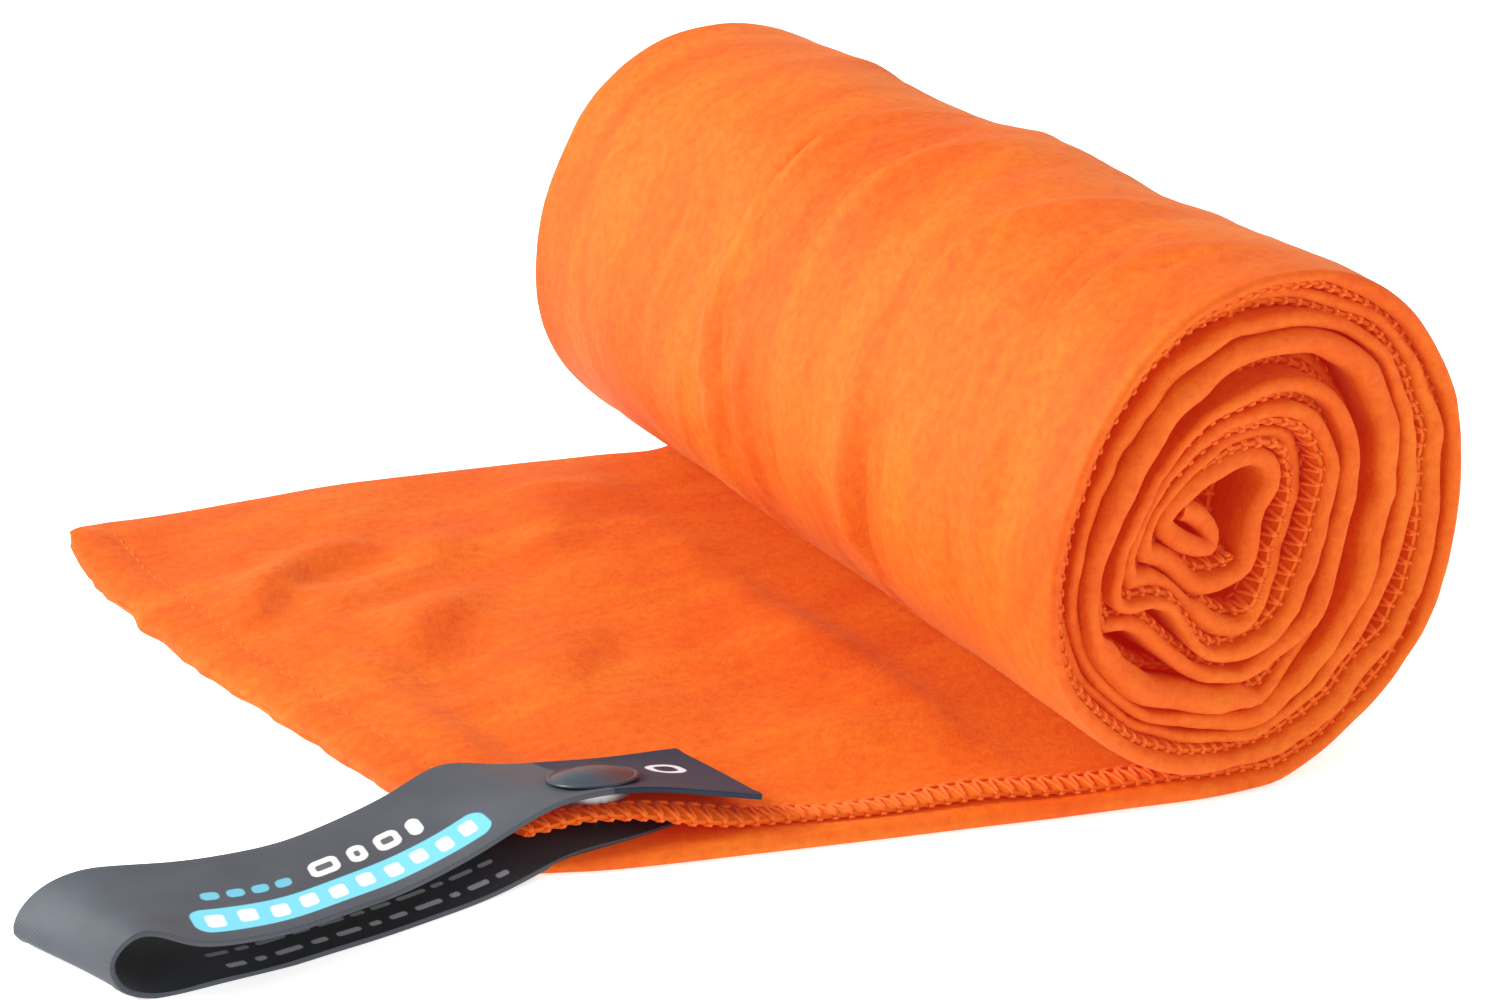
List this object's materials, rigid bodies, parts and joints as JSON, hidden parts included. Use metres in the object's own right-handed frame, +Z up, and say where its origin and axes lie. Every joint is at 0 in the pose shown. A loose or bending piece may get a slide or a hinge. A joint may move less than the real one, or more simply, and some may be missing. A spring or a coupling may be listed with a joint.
{
  "type": "quick dry towel",
  "caption": "Microfibre travel towel, folded lengthwise and rolled up, with its last stretch laid flat as a flap and a tape hang loop closed by a press stud at the corner.",
  "frame": {"origin": "centre of the overall box on the surface that the towel lies on", "axes": "+Z up, +Y along the roll towards its far end, the flap leaves the roll towards -X, which is the longest way"},
  "size_m": [0.2136, 0.1767, 0.0826],
  "materials": {
    "cloth": "brushed suede microfibre, orange, soft sheen",
    "thread": "overlock thread in the cloth's colour",
    "tape": "satin polyester tape, mid grey outside",
    "snap_cap": "blue-black lacquered cap",
    "snap_metal": "plated spring brass in a dark nickel finish"
  },
  "bodies": {
    "roll": {"towel_roll": "cloth", "overlock_roll_near": "thread"},
    "flap_a": {"flap_inner": "cloth", "overlock_flap_inner": "thread"},
    "flap_b": {"flap_middle": "cloth", "overlock_flap_middle": "thread"},
    "flap_c": {"flap_outer": "cloth", "overlock_flap_outer": "thread", "overlock_short_end": "thread", "loop_sewn_end": "tape", "tape_stitching": "thread", "snap_stud": "snap_metal", "snap_post": "snap_metal", "loop_corner_span": "tape"},
    "loop": {"loop_lower_leg": "tape", "loop_bend": "tape", "loop_upper_leg": "tape"},
    "free_end": {"loop_free_leg": "tape", "snap_cap": "snap_cap", "snap_socket": "snap_metal", "snap_spring": "snap_metal"},
    "tab": {"pull_tab": "tape"}
  },
  "joints": [
    {"name": "flap_curl_inner", "type": "hinge", "parent": "roll", "child": "flap_a", "pos_m": [0.0518, -0.0042, 0.004], "axis": [0, 1, 0], "range_deg": [0, 20]},
    {"name": "flap_curl_middle", "type": "hinge", "parent": "flap_a", "child": "flap_b", "pos_m": [0.0288, -0.0042, 0.004], "axis": [0, 1, 0], "range_deg": [0, 20]},
    {"name": "flap_curl_outer", "type": "hinge", "parent": "flap_b", "child": "flap_c", "pos_m": [0.0058, -0.0042, 0.004], "axis": [0, 1, 0], "range_deg": [0, 20]},
    {"name": "loop_swing", "type": "hinge", "parent": "flap_c", "child": "loop", "pos_m": [-0.0422, -0.0457, 0.00848], "axis": [-0.061, 0.9981, 0], "range_deg": [0, 45]},
    {"name": "snap_open", "type": "hinge", "parent": "flap_c", "child": "free_end", "pos_m": [-0.0316, -0.046, 0.00841], "axis": [-0.1361, -0.9686, 0.2079], "range_deg": [0, 90]},
    {"name": "tab_flex", "type": "hinge", "parent": "free_end", "child": "tab", "pos_m": [-0.01081, -0.04892, 0.00841], "axis": [-0.1361, -0.9686, 0.2079], "range_deg": [0, 35]}
  ],
  "couplings": [
    {"joint": "flap_curl_middle", "follows": "flap_curl_inner", "ratio": 1},
    {"joint": "flap_curl_outer", "follows": "flap_curl_inner", "ratio": 1}
  ]
}
